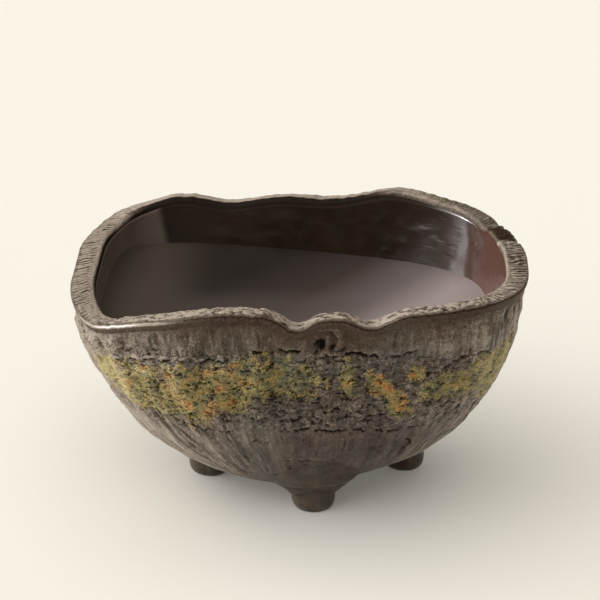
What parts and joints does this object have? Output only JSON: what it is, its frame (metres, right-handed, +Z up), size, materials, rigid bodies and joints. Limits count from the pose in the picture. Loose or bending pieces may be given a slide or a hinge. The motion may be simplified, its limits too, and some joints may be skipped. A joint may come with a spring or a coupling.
{
  "type": "rectangular stoneware planter",
  "caption": "Hand-built stoneware planter: rounded rectangular bowl with a torn wavy rim, bark-textured walls and stub feet, for succulents or a small water garden.",
  "frame": {"origin": "on the ground under the centre of the pot's bounding box", "axes": "+X to the right along the long side, +Y to the back, +Z up; the front, with the bark knot and the dips in the rim, faces -Y"},
  "size_m": [0.232, 0.202, 0.1429],
  "materials": {
    "bark_body": "unglazed grey-brown stoneware, brushed and bark-textured, satin",
    "mossed_bark": "bark-textured stoneware with patches of matt olive and ochre glaze",
    "smooth_body": "smoothed reddish-brown stoneware, satin",
    "foot_clay": "smoothed dark brown stoneware, satin",
    "inner_glaze": "glossy dark brown glaze on the inside of the bowl"
  },
  "bodies": {
    "root": {"floor_slab": "smooth_body", "lower_wall": "smooth_body", "bark_wall": "mossed_bark", "rim_band": "bark_body", "bark_knot": "bark_body", "foot_front": "foot_clay", "foot_left": "foot_clay", "foot_right": "foot_clay", "foot_back": "foot_clay"}
  },
  "joints": []
}
